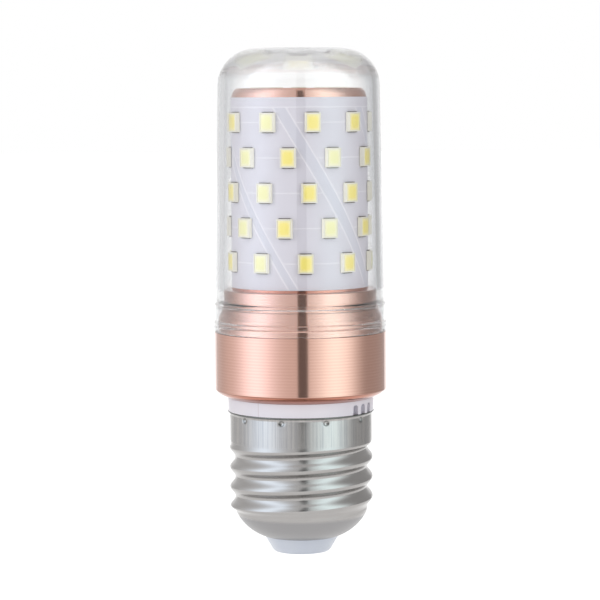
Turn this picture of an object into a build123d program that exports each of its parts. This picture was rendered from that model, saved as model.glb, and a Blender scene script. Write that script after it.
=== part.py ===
from build123d import *
from math import atan, ceil, cos, degrees, radians, sin, sqrt, tan
import os

# LED light bulb with an E27 screw cap, a turned aluminium body and a clear cover.
# Millimetres. +Z points up through the cover, the cap is at the bottom, and the
# origin is on the axis at the lowest point of the centre contact.
# An angle round the bulb is counted from the front (-Y) towards the right (+X).

# Screw cap, to the E27 standard
THREAD_PITCH = 3.629
THREAD_CREST_R = 13.12
THREAD_ROOT_R = 12.12
THREAD_PHASE = 17.9        # height of a crest on the right hand side (+X)
THREAD_LENGTH = 13.2
THREAD_RUNOUT = 1.3        # height in which the thread fades into a plain round
THREAD_STEPS = 8           # round sections in each pitch
SHELL_HEAD = 7.8           # where the bowl ends and the thread starts
SHELL_WALL = 0.3
COLLAR_R = 12.98
COLLAR_LENGTH = 5.4
LIP_FLARE = 0.34
LIP_HEIGHT = 0.5
BOWL_TOP_R = 12.0
BOWL_MID = (10.0, 5.15)    # radius and height of a point half way down the bowl
BOWL_FOOT = 3.1
CRIMP_COUNT = 10
CRIMP_FIRST_ANGLE = 20.4
CRIMP_DROP = 0.95          # below the rim of the collar
CRIMP_R = 0.6
CRIMP_DEPTH = 0.2

# Insulator and centre contact
CONTACT_HEAD_R = 2.3
CONTACT_PROUD = 0.5
CONTACT_PIN_R = 0.75
CONTACT_TAIL = 2.6         # pin that stands above the insulator, for the live wire
INSULATOR_FOOT_R = 5.4
INSULATOR_WAIST_R = 6.95
INSULATOR_FLANGE_R = 8.7
INSULATOR_TOP = 5.6
INSULATOR_EDGE = 0.35
FLANGE_RISE = 0.78         # slope of the flange where it seats in the bowl

# White moulded base between the cap and the aluminium body
BASE_SHOWS = 2.6           # height of the base that shows above the cap
BASE_DRAFT = 0.07
BASE_WALL = 1.2
SLEEVE_CLEAR = 2.0         # from the top of the sleeve to the ledge of the body
STUB_CLEAR = 0.4           # from the bowl of the shell to the foot of the base
STUB_NECK = 0.9            # height in which the stub widens into the collar
BORE_RISE = 0.4            # the wide bore starts this far above the collar
BORE_FALL = 1.4            # and the narrow one ends this far below its top
FIT_GAP = 0.1              # clearance of everything that pushes into something
SNAP_PROUD = 0.35
SNAP_HEIGHT = 0.7
SNAP_LEAD = 0.1
SLOT_WIDTH = 1.35
SLOT_TOP_MARGIN = 0.65     # plastic left above the vent slots
SLOT_ANGLES = (47.8, 57.6, 67.4)
RIB_THICKNESS = 1.0
RIB_GRIP = 1.2             # overlap of the ribs with the edges of the circuit board
RIB_ROOT = 0.3             # how far the ribs run into the wall

# Turned aluminium body
BODY_R = 15.65
BODY_CORNER = 2.3          # how far the foot curves in at its lower edge
CORNER_RISE = 1.7
FOOT_LIP = 0.4             # height of the straight edge below that curve
FOOT_EDGE = 0.5            # metal left in it, round the base
BODY_WALL = 0.9
FOOT_LENGTH = 12.0
LEDGE_WIDTH = 0.65         # the cover stands on this ledge
SHOULDER_LENGTH = 2.55
SHOULDER_EASE = 1.95       # height of the round from the shoulder to the neck
SHOULDER_STEP = 1.0
NECK_LENGTH = 3.35
NECK_EDGE = 0.3
NECK_STEP = 1.55           # the board stands this far inside the neck
BOARD_STEP = 0.45          # low ring that the side board stands on
CORE_WALL = 0.9
CORE_CROWN_HEIGHT = 1.65
CORE_PLATE = 1.2
CROWN_STEP = 1.0
CROWN_RIM = 1.05           # metal left round the top board
CROWN_INSET = 0.1
TOP_RECESS = 1.6
WIRE_HOLE_R = 2.2
PORT_R = 1.3               # hole in the core for the side board's wires
PORT_HEIGHT = 1.45
PORT_MARGIN = 0.2          # the notch of the board is this much larger

# LED boards and their LEDs
BOARD_HEIGHT = 34.3
BOARD_THICKNESS = 0.8
BOARD_SEAM = 0.7
TOP_BOARD_THICKNESS = 1.0
LED_WIDTH = 2.8
LED_LENGTH = 3.5
LED_HEIGHT = 0.75
LED_FRAME = 0.24
LED_CUP = 0.22
LED_LIFT = 0.02            # solder under a flat package on the round board
LED_TAPER = 4.0
ROW_COUNT = 5
ROW_MARGIN = 4.45          # from the top of the board to the middle of the first row
ROW_PITCH = 6.27
ROW_START_ANGLE = 10.8
ROW_LEAN = 1.55            # each row sits this many degrees back from the one above
ODD_ROW = "WWCWCWCCWC"     # warm and cool LEDs round the ring, from the front
EVEN_ROW = "WCWCWCWCWC"
TOP_RING_INSET = 3.3       # from the edge of the top board to the middle of its LEDs
TOP_RING = "WCWCWCWC"

# Clear cover
COVER_HEADROOM = 7.25      # from the crown of the core to the outside of the top
COVER_CORNER = 6.6
COVER_WALL = 1.2
COVER_FOOT_WALL = 1.28
COVER_GAP = 0.12
LED_CLEARANCE = 0.2
RIDGE_RISE = 0.6           # above the round of the shoulder
RIDGE_R = 0.32
SKIRT_INSET = 0.13         # the skirt stands this far inside the body
RIM_HEIGHT = 2.15
RIM_BEAD_PROUD = 0.3

# Driver inside the base
PCB_THICKNESS = 1.0
PCB_Y = 2.2                # the board stands behind the axis
PCB_FOOT_CLEAR = 2.3       # above the foot of the base
PCB_STEP_CLEAR = 1.2       # the wide part starts this far above the cap
PCB_HEAD_CLEAR = 5.85      # below the top of the neck
PCB_LOW_WIDTH = 18.0
PCB_HIGH_WIDTH = 22.0
WIRE_R = 0.5
WIRE_BEND = 3.0
TIGHT_BEND = 1.2
LEAD_R = 0.3
LEAD_BEND = 0.6

# Heights that follow from the sizes above
COLLAR_FOOT = SHELL_HEAD + THREAD_LENGTH
COLLAR_TOP = COLLAR_FOOT + COLLAR_LENGTH
CONTACT_PIN_TOP = INSULATOR_TOP + CONTACT_TAIL
STUB_BOTTOM = SHELL_HEAD + STUB_CLEAR
BODY_BOTTOM = COLLAR_TOP + BASE_SHOWS
BODY_LEDGE = BODY_BOTTOM + FOOT_LENGTH
BASE_SLEEVE_TOP = BODY_LEDGE - SLEEVE_CLEAR
SHOULDER_FOOT = BODY_LEDGE + SHOULDER_LENGTH
SHOULDER_HEAD = SHOULDER_FOOT + SHOULDER_EASE
NECK_TOP = SHOULDER_HEAD + NECK_LENGTH
BOARD_BOTTOM = NECK_TOP + BOARD_STEP
BOARD_TOP = BOARD_BOTTOM + BOARD_HEIGHT
ROW_FIRST = BOARD_TOP - ROW_MARGIN
ROW_LEDS = len(ODD_ROW)
ROW_STEP = 360 / ROW_LEDS
PORT_Z = BOARD_BOTTOM + PORT_HEIGHT
CORE_TOP = BOARD_TOP + CORE_CROWN_HEIGHT
RECESS_FLOOR = CORE_TOP - TOP_RECESS
TOP_BOARD_TOP = RECESS_FLOOR + TOP_BOARD_THICKNESS
RIDGE_HEIGHT = SHOULDER_HEAD + RIDGE_RISE
COVER_TOP = CORE_TOP + COVER_HEADROOM
PCB_BOTTOM = STUB_BOTTOM + PCB_FOOT_CLEAR
PCB_STEP = COLLAR_TOP + PCB_STEP_CLEAR
PCB_TOP = NECK_TOP - PCB_HEAD_CLEAR

# Radii and faces that follow from the sizes above
LIP_R = COLLAR_R + LIP_FLARE
SHELL_BORE_R = THREAD_ROOT_R - SHELL_WALL
THREAD_MEAN_R = (THREAD_CREST_R + THREAD_ROOT_R) / 2
THREAD_THROW = (THREAD_CREST_R - THREAD_ROOT_R) / 2
FOOT_HOLE_R = INSULATOR_WAIST_R + FIT_GAP
STUB_R = SHELL_BORE_R - FIT_GAP
COLLAR_SEAT_R = COLLAR_R - SHELL_WALL - FIT_GAP
BASE_R = BODY_R - BODY_CORNER
FOOT_BORE_R = BASE_R - FOOT_EDGE
SLEEVE_R = FOOT_BORE_R - FIT_GAP
SHOULDER_R = BODY_R - LEDGE_WIDTH
NECK_R = SHOULDER_R - SHOULDER_STEP
BOARD_R = NECK_R - NECK_STEP
BOARD_BORE_R = BOARD_R - BOARD_THICKNESS
CORE_BORE_R = BOARD_BORE_R - CORE_WALL
CORE_CROWN_R = BOARD_R - CROWN_STEP
TOP_BOARD_R = CORE_CROWN_R - CROWN_RIM
TOP_RING_R = TOP_BOARD_R - TOP_RING_INSET
COVER_TOP_R = BOARD_R + LED_LIFT + LED_HEIGHT + LED_CLEARANCE + COVER_WALL
COVER_FOOT_R = NECK_R + COVER_GAP + COVER_FOOT_WALL
SKIRT_R = BODY_R - SKIRT_INSET
PCB_FACE = PCB_Y - PCB_THICKNESS / 2
PCB_BACK = PCB_Y + PCB_THICKNESS / 2


def around(angle):
    """Turn about the bulb's axis, counted from the front towards the right."""
    return Rot(0, 0, angle)


def lathe(outline):
    """Solid of revolution from a closed outline drawn in X (radius) and Z."""
    return revolve(make_face(Plane.XZ * outline), Axis.Z)


def disc_between(low, high, radius, bore=0.0):
    """Plain round between two heights, with a bore where one is given."""
    disc = Pos(0, 0, low) * extrude(Circle(radius), high - low)
    if bore > 0:
        disc -= Pos(0, 0, low) * extrude(Circle(bore), high - low)
    return disc


def block(x, y, z):
    """Box between pairs of limits."""
    size = (x[1] - x[0], y[1] - y[0], z[1] - z[0])
    centre = ((x[0] + x[1]) / 2, (y[0] + y[1]) / 2, (z[0] + z[1]) / 2)
    return Pos(*centre) * Box(*size)


# Screw shell


def thread_section(height, inset):
    """Round section of the rolled thread. It is off centre, and its centre turns
    once in each pitch, which gives the round knuckle form of the standard. Near
    both ends it moves back to the axis and takes the radius of what follows."""
    into_thread = (height - SHELL_HEAD) / THREAD_RUNOUT
    out_of_thread = (COLLAR_FOOT - height) / THREAD_RUNOUT
    fade = max(0.0, min(1.0, into_thread, out_of_thread))
    end_r = BOWL_TOP_R if into_thread < out_of_thread else COLLAR_R
    radius = end_r + (THREAD_MEAN_R - end_r) * fade
    turn = radians(360.0 * (height - THREAD_PHASE) / THREAD_PITCH)
    centre = (THREAD_THROW * fade * cos(turn), THREAD_THROW * fade * sin(turn), height)
    return Plane(centre) * Circle(radius - inset)


def thread_body(inset):
    """Threaded stretch with its run-outs, smaller all round by the inset."""
    count = ceil(THREAD_LENGTH * THREAD_STEPS / THREAD_PITCH)
    step = THREAD_LENGTH / count
    sections = [thread_section(SHELL_HEAD + index * step, inset) for index in range(count + 1)]
    return loft(sections, ruled=True)


def collar_body(inset):
    """Plain collar above the thread, with its flared lip."""
    neck = COLLAR_TOP - LIP_HEIGHT
    radius = COLLAR_R - inset
    outline = Polyline(
        (0, COLLAR_FOOT),
        (radius, COLLAR_FOOT),
        (radius, neck),
        (radius + 0.3 * LIP_FLARE, neck + 0.6 * LIP_HEIGHT),
        (LIP_R - inset, COLLAR_TOP),
        (0, COLLAR_TOP),
        close=True,
    )
    return lathe(outline)


def bowl_body(inset):
    """Rounded lower end of the shell, down to the hole for the insulator."""
    shift = inset / sqrt(2)
    start = (BOWL_TOP_R - inset, SHELL_HEAD)
    middle = (BOWL_MID[0] - shift, BOWL_MID[1] + shift)
    end = (FOOT_HOLE_R, BOWL_FOOT + inset)
    outline = Polyline((0, end[1]), (0, SHELL_HEAD), start)
    outline += ThreePointArc(start, middle, end)
    outline += Line(end, (0, end[1]))
    return lathe(outline)


def screw_shell():
    """Thin rolled shell: collar, knuckle thread and bowl, with its ring of crimps."""
    outside = collar_body(0) + thread_body(0) + bowl_body(0)
    inside = collar_body(SHELL_WALL) + thread_body(SHELL_WALL) + bowl_body(SHELL_WALL)
    mouth = disc_between(COLLAR_TOP - 0.01, COLLAR_TOP + 1, LIP_R - SHELL_WALL)
    foot_hole = disc_between(0, BOWL_FOOT + 1, FOOT_HOLE_R)
    shell = outside - inside - mouth - foot_hole
    reach = COLLAR_R + CRIMP_R - CRIMP_DEPTH
    for index in range(CRIMP_COUNT):
        turn = around(CRIMP_FIRST_ANGLE + index * 360 / CRIMP_COUNT)
        shell -= turn * Pos(0, -reach, COLLAR_TOP - CRIMP_DROP) * Sphere(CRIMP_R)
    return shell


# Insulator and centre contact


def cap_insulator():
    """Stepped insulator: a cone outside, and a sloped flange that seats in the bowl."""
    flange = BOWL_FOOT + SHELL_WALL + FIT_GAP
    seat_rise = FLANGE_RISE * (INSULATOR_FLANGE_R - INSULATOR_WAIST_R)
    outline = Polyline(
        (CONTACT_PIN_R, CONTACT_PROUD),
        (INSULATOR_FOOT_R - INSULATOR_EDGE, CONTACT_PROUD),
        (INSULATOR_FOOT_R, CONTACT_PROUD + INSULATOR_EDGE),
        (INSULATOR_WAIST_R, flange),
        (INSULATOR_FLANGE_R, flange + seat_rise),
        (INSULATOR_FLANGE_R, INSULATOR_TOP),
        (CONTACT_PIN_R, INSULATOR_TOP),
        close=True,
    )
    return lathe(outline)


def centre_contact():
    """Nail-shaped contact: a low domed head on a pin through the insulator."""
    outline = TangentArc((0, 0), (CONTACT_HEAD_R, CONTACT_PROUD), tangent=(1, 0))
    outline += Polyline(
        (CONTACT_HEAD_R, CONTACT_PROUD),
        (CONTACT_PIN_R, CONTACT_PROUD),
        (CONTACT_PIN_R, CONTACT_PIN_TOP),
        (0, CONTACT_PIN_TOP),
        (0, 0),
    )
    return lathe(outline)


# Moulded base


def vent_slot(angle):
    """Arched slot through the wall of the base, open at its lower edge."""
    top = BODY_BOTTOM - SLOT_TOP_MARGIN
    half = SLOT_WIDTH / 2
    arch = Pos(0, 0, top - half) * Rot(90, 0, 0) * Cylinder(half, 4)
    legs = block((-half, half), (-2, 2), (COLLAR_TOP, top - half))
    return around(angle) * Pos(0, -BASE_R, 0) * (arch + legs)


def plastic_base():
    """Moulded ring with a stub down into the cap and a sleeve up into the body."""
    snap_low = BODY_BOTTOM + BODY_WALL + FIT_GAP
    bore = SLEEVE_R - BASE_WALL
    stub_bore = STUB_R - BASE_WALL
    outline = Polyline(
        (stub_bore, STUB_BOTTOM),
        (STUB_R, STUB_BOTTOM),
        (STUB_R, COLLAR_FOOT),
        (COLLAR_SEAT_R, COLLAR_FOOT + STUB_NECK),
        (COLLAR_SEAT_R, COLLAR_TOP),
        (BASE_R - BASE_DRAFT, COLLAR_TOP),
        (BASE_R, BODY_BOTTOM),
        (SLEEVE_R, BODY_BOTTOM),
        (SLEEVE_R, snap_low),
        (SLEEVE_R + SNAP_PROUD, snap_low + SNAP_LEAD),
        (SLEEVE_R, snap_low + SNAP_HEIGHT),
        (SLEEVE_R, BASE_SLEEVE_TOP),
        (bore, BASE_SLEEVE_TOP),
        (bore, COLLAR_TOP + BORE_RISE),
        (stub_bore, COLLAR_TOP - BORE_FALL),
        close=True,
    )
    base = lathe(outline)
    rib_reach = (PCB_LOW_WIDTH / 2 - RIB_GRIP, stub_bore + RIB_ROOT)
    for side in (-1, 1):
        reach = sorted((side * rib_reach[0], side * rib_reach[1]))
        front = PCB_FACE - FIT_GAP
        back = PCB_BACK + FIT_GAP
        base += block(reach, (front - RIB_THICKNESS, front), (STUB_BOTTOM, PCB_STEP))
        base += block(reach, (back, back + RIB_THICKNESS), (STUB_BOTTOM, PCB_STEP))
    for half_turn in (0, 180):
        for angle in SLOT_ANGLES:
            base -= vent_slot(angle + half_turn)
    return base


# Aluminium body


def heat_sink():
    """Stepped round body: wide foot, shoulder and neck that carry the cover,
    and the tall core that the side board is wrapped round."""
    crown_foot = (BOARD_R - CROWN_INSET, BOARD_TOP)
    crown_mid = (BOARD_R - 0.32 * CROWN_STEP, BOARD_TOP + 0.62 * CORE_CROWN_HEIGHT)
    wide_bore = BODY_R - BODY_WALL
    shoulder_bore = SHOULDER_R - BODY_WALL
    neck_bore = NECK_R - BODY_WALL
    ledge_under = BODY_LEDGE - BODY_WALL
    plate_under = RECESS_FLOOR - CORE_PLATE
    lip_top = BODY_BOTTOM + BODY_WALL
    corner_in = (BODY_CORNER - BODY_WALL) / 2
    corner_low = BODY_BOTTOM + FOOT_LIP
    bend = 1 - 1 / sqrt(2)

    outline = Polyline(
        (WIRE_HOLE_R, RECESS_FLOOR),
        (TOP_BOARD_R + FIT_GAP, RECESS_FLOOR),
        (TOP_BOARD_R + FIT_GAP, CORE_TOP),
        (CORE_CROWN_R, CORE_TOP),
    )
    outline += ThreePointArc((CORE_CROWN_R, CORE_TOP), crown_mid, crown_foot)
    outline += Polyline(
        crown_foot,
        (BOARD_BORE_R, BOARD_TOP),
        (BOARD_BORE_R, BOARD_BOTTOM),
        (BOARD_R, BOARD_BOTTOM),
        (BOARD_R, NECK_TOP),
        (NECK_R - NECK_EDGE, NECK_TOP),
        (NECK_R, NECK_TOP - NECK_EDGE),
        (NECK_R, SHOULDER_HEAD),
    )
    outline += ThreePointArc(
        (NECK_R, SHOULDER_HEAD),
        (NECK_R + 0.68 * (SHOULDER_R - NECK_R), SHOULDER_HEAD - 0.3 * (SHOULDER_HEAD - SHOULDER_FOOT)),
        (SHOULDER_R, SHOULDER_FOOT),
    )
    outline += Polyline(
        (SHOULDER_R, SHOULDER_FOOT),
        (SHOULDER_R, BODY_LEDGE),
        (BODY_R, BODY_LEDGE),
        (BODY_R, corner_low + CORNER_RISE),
    )
    outline += ThreePointArc(
        (BODY_R, corner_low + CORNER_RISE),
        (BODY_R - BODY_CORNER * bend, corner_low + CORNER_RISE * bend),
        (BASE_R, corner_low),
    )
    outline += Polyline(
        (BASE_R, corner_low),
        (BASE_R, BODY_BOTTOM),
        (FOOT_BORE_R, BODY_BOTTOM),
        (FOOT_BORE_R, lip_top),
        (wide_bore - corner_in, lip_top),
        (wide_bore, lip_top + corner_in),
        (wide_bore, ledge_under),
        (shoulder_bore, ledge_under),
        (shoulder_bore, SHOULDER_FOOT),
        (neck_bore, SHOULDER_HEAD),
        (neck_bore, NECK_TOP - BODY_WALL),
        (CORE_BORE_R, NECK_TOP - BODY_WALL),
        (CORE_BORE_R, plate_under),
        (WIRE_HOLE_R, plate_under),
        (WIRE_HOLE_R, RECESS_FLOOR),
    )
    wire_port = Pos(0, BOARD_BORE_R - CORE_WALL / 2, PORT_Z) * Rot(90, 0, 0)
    return lathe(outline) - wire_port * Cylinder(PORT_R, 4 * CORE_WALL)


# LED boards


def side_board():
    """Thin metal board rolled round the core. Its open seam runs between the LEDs at
    the back, with their lean, and an arched notch at its foot lets the wires out."""
    ring = disc_between(BOARD_BOTTOM, BOARD_TOP, BOARD_R, BOARD_BORE_R)
    middle = (BOARD_BOTTOM + BOARD_TOP) / 2
    lean = ROW_LEAN / ROW_PITCH
    angle = ROW_START_ANGLE - ROW_STEP / 4 + ROW_STEP * (ROW_LEDS // 2) - lean * (ROW_FIRST - middle)
    slant = degrees(atan(BOARD_R * radians(lean)))
    slot = Box(BOARD_SEAM, BOARD_R, 2 * BOARD_HEIGHT)
    seam = around(angle) * Pos(0, -BOARD_R, middle) * Rot(0, slant, 0) * slot
    notch_r = PORT_R + PORT_MARGIN
    notch = Pos(0, BOARD_R, PORT_Z) * Rot(90, 0, 0) * Cylinder(notch_r, 4)
    notch += block((-notch_r, notch_r), (BOARD_R - 2, BOARD_R + 2), (BOARD_BOTTOM - 1, PORT_Z))
    return ring - seam - notch


def top_board():
    """Round board in the recess of the crown, with a hole for its wires."""
    return disc_between(RECESS_FLOOR, TOP_BOARD_TOP, TOP_BOARD_R, WIRE_HOLE_R)


def led_frame():
    """White package with an open cup for the phosphor, base on the XY plane,
    its long side along Y."""
    inset = LED_HEIGHT * tan(radians(LED_TAPER))
    foot = Rectangle(LED_WIDTH, LED_LENGTH)
    head = Pos(0, 0, LED_HEIGHT) * Rectangle(LED_WIDTH - inset, LED_LENGTH - inset)
    return loft([foot, head]) - led_gel()


def led_gel():
    """Phosphor gel that fills the cup flush with the package."""
    inset = LED_HEIGHT * tan(radians(LED_TAPER)) + 2 * LED_FRAME
    floor = Pos(0, 0, LED_HEIGHT - LED_CUP)
    window = Rectangle(LED_WIDTH - inset, LED_LENGTH - inset)
    return floor * extrude(window, LED_CUP)


def side_places():
    """Place and colour letter of every LED on the side board."""
    places = []
    for row in range(ROW_COUNT):
        colours = ODD_ROW if row % 2 == 0 else EVEN_ROW
        half_step = ROW_STEP / 2 if row % 2 else 0
        first = ROW_START_ANGLE - ROW_LEAN * row - half_step
        height = ROW_FIRST - ROW_PITCH * row
        for index in range(ROW_LEDS):
            turn = around(first + index * ROW_STEP)
            place = turn * Pos(0, -BOARD_R - LED_LIFT, height) * Rot(90, 0, 0)
            places.append((place, colours[index]))
    return places


def top_places():
    """Place and colour letter of every LED on the top board."""
    places = []
    for index, colour in enumerate(TOP_RING):
        turn = around(index * 360 / len(TOP_RING))
        places.append((turn * Pos(0, -TOP_RING_R, TOP_BOARD_TOP), colour))
    return places


def copies(piece, places, colours="WC"):
    """One solid of the piece at each place whose letter is asked for."""
    return Compound([place * piece.solid() for place, colour in places if colour in colours])


# Clear cover


def clear_cover():
    """Moulded cup with a drafted wall, a thin ridge and a double bead on its rim."""
    rim_head = BODY_LEDGE + RIM_HEIGHT
    corner = COVER_TOP - COVER_CORNER
    inner_corner = COVER_CORNER - COVER_WALL
    bend = 1 - 1 / sqrt(2)
    bore_top = COVER_TOP_R - COVER_WALL
    bore_foot = NECK_R + COVER_GAP
    bore_rim = SHOULDER_R + COVER_GAP
    under = COVER_TOP - COVER_WALL
    bead = RIM_HEIGHT / 2
    bead_edge = 0.3 * bead
    proud = SKIRT_R + RIM_BEAD_PROUD

    outline = Line((0, COVER_TOP), (COVER_TOP_R - COVER_CORNER, COVER_TOP))
    outline += ThreePointArc(
        (COVER_TOP_R - COVER_CORNER, COVER_TOP),
        (COVER_TOP_R - COVER_CORNER * bend, COVER_TOP - COVER_CORNER * bend),
        (COVER_TOP_R, corner),
    )
    outline += Line((COVER_TOP_R, corner), (COVER_FOOT_R, RIDGE_HEIGHT + RIDGE_R))
    outline += Polyline(
        (COVER_FOOT_R, RIDGE_HEIGHT + RIDGE_R),
        (COVER_FOOT_R + RIDGE_R, RIDGE_HEIGHT + 0.4 * RIDGE_R),
        (COVER_FOOT_R + RIDGE_R, RIDGE_HEIGHT - 0.4 * RIDGE_R),
        (SKIRT_R, RIDGE_HEIGHT - RIDGE_R),
        (SKIRT_R, rim_head),
    )
    for head in (rim_head, rim_head - bead):
        outline += Polyline(
            (SKIRT_R, head),
            (proud, head - bead_edge),
            (proud, head - bead + bead_edge),
            (SKIRT_R, head - bead),
        )
    outline += Polyline(
        (SKIRT_R, BODY_LEDGE),
        (bore_rim, BODY_LEDGE),
        (bore_rim, SHOULDER_FOOT + COVER_GAP),
        (bore_rim - 0.25 * SHOULDER_STEP, SHOULDER_HEAD - 0.35),
        (bore_foot, SHOULDER_HEAD + 0.25),
        (bore_top, corner),
    )
    outline += ThreePointArc(
        (bore_top, corner),
        (bore_top - inner_corner * bend, under - inner_corner * bend),
        (bore_top - inner_corner, under),
    )
    outline += Polyline((bore_top - inner_corner, under), (0, under), (0, COVER_TOP))
    return lathe(outline)


# Driver


def driver_board():
    """Stepped circuit board: narrow where it stands in the cap, wide above."""
    low = block(
        (-PCB_LOW_WIDTH / 2, PCB_LOW_WIDTH / 2), (PCB_FACE, PCB_BACK), (PCB_BOTTOM, PCB_STEP)
    )
    high = block(
        (-PCB_HIGH_WIDTH / 2, PCB_HIGH_WIDTH / 2), (PCB_FACE, PCB_BACK), (PCB_STEP, PCB_TOP)
    )
    return low + high


def lead_pair(x, z, pitch, reach):
    """Two wire leads from a part's foot through to the back of the board."""
    leads = []
    for side in (-1, 1):
        place = Pos(x + side * pitch / 2, PCB_FACE - reach / 2, z)
        leads.append(place * Rot(90, 0, 0) * Cylinder(LEAD_R, reach))
    return leads


def bent_lead(points):
    """Component lead along straight runs with a tight bend."""
    path = FilletPolyline(*points, radius=LEAD_BEND)
    start = Plane(origin=path @ 0, z_dir=path % 0)
    return sweep(start * Circle(LEAD_R), path=path)


def turned(outline, edge):
    """Solid of revolution from (radius, height) corners, with a small edge break at
    the outer corner of each end."""
    (low_r, low), (high_r, high) = outline[0], outline[-1]
    points = [(0, low), (low_r - edge, low), (low_r, low + edge)]
    points += outline[1:-1]
    points += [(high_r, high - edge), (high_r - edge, high), (0, high)]
    return lathe(Polyline(*points, close=True))


def electrolytic_capacitor():
    """Can lying along the board, with a rolled groove and leads bent to the board."""
    radius = 3.15
    length = 11.5
    foot = PCB_BOTTOM + 2.5
    head = foot + length
    edge = 0.4
    groove = foot + 1.7
    groove_half = 0.5
    groove_depth = 0.35
    lead_pitch = 2.5
    elbow = foot - 1.2
    sunk = foot + edge
    centre_y = PCB_FACE - radius - FIT_GAP / 2
    corners = [
        (radius, foot),
        (radius, groove - groove_half),
        (radius - groove_depth, groove),
        (radius, groove + groove_half),
        (radius, head),
    ]
    can = Pos(0, centre_y, 0) * turned(corners, edge)
    for side in (-1, 1):
        x = side * lead_pitch / 2
        can += bent_lead([(x, centre_y, sunk), (x, centre_y, elbow), (x, PCB_FACE, elbow)])
    return can


def film_capacitor():
    """Moulded block on two short leads."""
    width = 7.2
    depth = 4.2
    height = 6.8
    edge = 0.55
    stand = 0.4
    lead_pitch = 5.0
    x = 4.8
    z = PCB_STEP + 5.4
    back = PCB_FACE - stand
    body = block((x - width / 2, x + width / 2), (back - depth, back), (z - height / 2, z + height / 2))
    body = chamfer(body.edges(), edge)
    for lead in lead_pair(x, z, lead_pitch, 2 * stand):
        body += lead
    return body


INDUCTOR_X = -5.2
INDUCTOR_Z = PCB_STEP + 5.6
INDUCTOR_STAND = 0.5
INDUCTOR_LENGTH = 6.0
SPOOL_R = 1.6
FLANGE_R = 4.0
FLANGE_THICKNESS = 1.1
WINDING_R = 3.2
WINDING_GAP = 0.05


def along_front(radius, length):
    """Round bar that points to the front, with its back end on the XZ plane."""
    return Rot(90, 0, 0) * Cylinder(radius, length, align=(Align.CENTER, Align.CENTER, Align.MIN))


def inductor():
    """Drum core: two flanges on a spool, on two short leads."""
    lead_pitch = 4.4
    flange = along_front(FLANGE_R, FLANGE_THICKNESS)
    head = Pos(0, FLANGE_THICKNESS - INDUCTOR_LENGTH, 0) * flange
    drum = along_front(SPOOL_R, INDUCTOR_LENGTH) + flange + head
    drum = Pos(INDUCTOR_X, PCB_FACE - INDUCTOR_STAND, INDUCTOR_Z) * drum
    for lead in lead_pair(INDUCTOR_X, INDUCTOR_Z, lead_pitch, INDUCTOR_STAND + 0.4):
        drum += lead
    return drum


def inductor_winding():
    """Copper wire wound in a layer between the flanges of the drum."""
    end_gap = 0.1
    length = INDUCTOR_LENGTH - 2 * (FLANGE_THICKNESS + end_gap)
    layer = along_front(WINDING_R, length) - along_front(SPOOL_R + WINDING_GAP, length)
    back = PCB_FACE - INDUCTOR_STAND - FLANGE_THICKNESS - end_gap
    return Pos(INDUCTOR_X, back, INDUCTOR_Z) * layer


def chip(x, z, width, length, height, legs):
    """Surface mounted chip on the back of the board, with two rows of legs."""
    stand = 0.1
    edge = 0.18
    leg_reach = 0.7
    leg_half = 0.2
    leg_thickness = 0.22
    half_x = width / 2
    half_z = length / 2
    depth = (PCB_BACK + stand, PCB_BACK + height)
    body = block((x - half_x, x + half_x), depth, (z - half_z, z + half_z))
    body = chamfer(body.faces().sort_by(Axis.Y)[-1].edges(), edge)
    step = length / legs
    span = (x - half_x - leg_reach, x + half_x + leg_reach)
    for index in range(legs):
        middle = z - half_z + step * (index + 0.5)
        leg = block(span, (PCB_BACK, PCB_BACK + leg_thickness), (middle - leg_half, middle + leg_half))
        body += leg
    return body


def bridge_rectifier():
    """Four-legged rectifier low on the back of the board."""
    return chip(0.0, PCB_BOTTOM + 6.7, 4.0, 4.6, 1.5, 2)


def switching_chip(side):
    """One of the two eight-legged chips, on the left (-1) or the right (1)."""
    return chip(4.6 * side, PCB_STEP + 7.0, 3.9, 4.9, 1.4, 4)


def fusible_resistor():
    """Axial resistor that lies along the board on two bent leads."""
    radius = 1.25
    half = 3.0
    edge = 0.4
    lead_reach = 1.1
    x = -6.2
    y = PCB_FACE - radius - 0.25
    middle = PCB_STEP - 4.6
    body = Pos(x, y, 0) * turned([(radius, middle - half), (radius, middle + half)], edge)
    for end in (-1, 1):
        elbow = middle + end * (half + lead_reach)
        sunk = middle + end * (half - edge)
        body += bent_lead([(x, y, sunk), (x, y, elbow), (x, PCB_FACE, elbow)])
    return body


def chip_row(count, pitch, width, height, length, low):
    """Row of small blocks across the back of the board, centred on the axis."""
    parts = []
    for index in range(count):
        x = pitch * (index - (count - 1) / 2)
        span = (x - width / 2, x + width / 2)
        parts.append(block(span, (PCB_BACK, PCB_BACK + height), (low, low + length)).solid())
    return Compound(parts)


def chip_resistors():
    """Small resistors in a row near the top of the board."""
    return chip_row(6, 2.6, 1.2, 0.5, 2.0, PCB_TOP - 4.0)


def chip_capacitors():
    """Small ceramic capacitors in a row across the middle of the board."""
    return chip_row(3, 4.0, 1.6, 0.9, 1.3, PCB_STEP + 1.0)


# Wires


def wire(points, bends):
    """Round insulated wire along straight runs joined by arcs."""
    path = FilletPolyline(*points, radius=bends)
    start = Plane(origin=path @ 0, z_dir=path % 0)
    return sweep(start * Circle(WIRE_R), path=path)


def top_board_wires():
    """Warm, cool and common wires, up the core and through the hole on top."""
    spread = 1.25
    solder = 3.4
    y = PCB_FACE - WIRE_R
    wires = []
    for index in (-1, 0, 1):
        x = spread * index
        points = [
            (x, y, PCB_TOP - solder),
            (x, y, PCB_TOP + 2),
            (x, 0, PCB_TOP + 9),
            (x, 0, TOP_BOARD_TOP),
        ]
        wires.append(wire(points, WIRE_BEND).solid())
    return Compound(wires)


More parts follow.
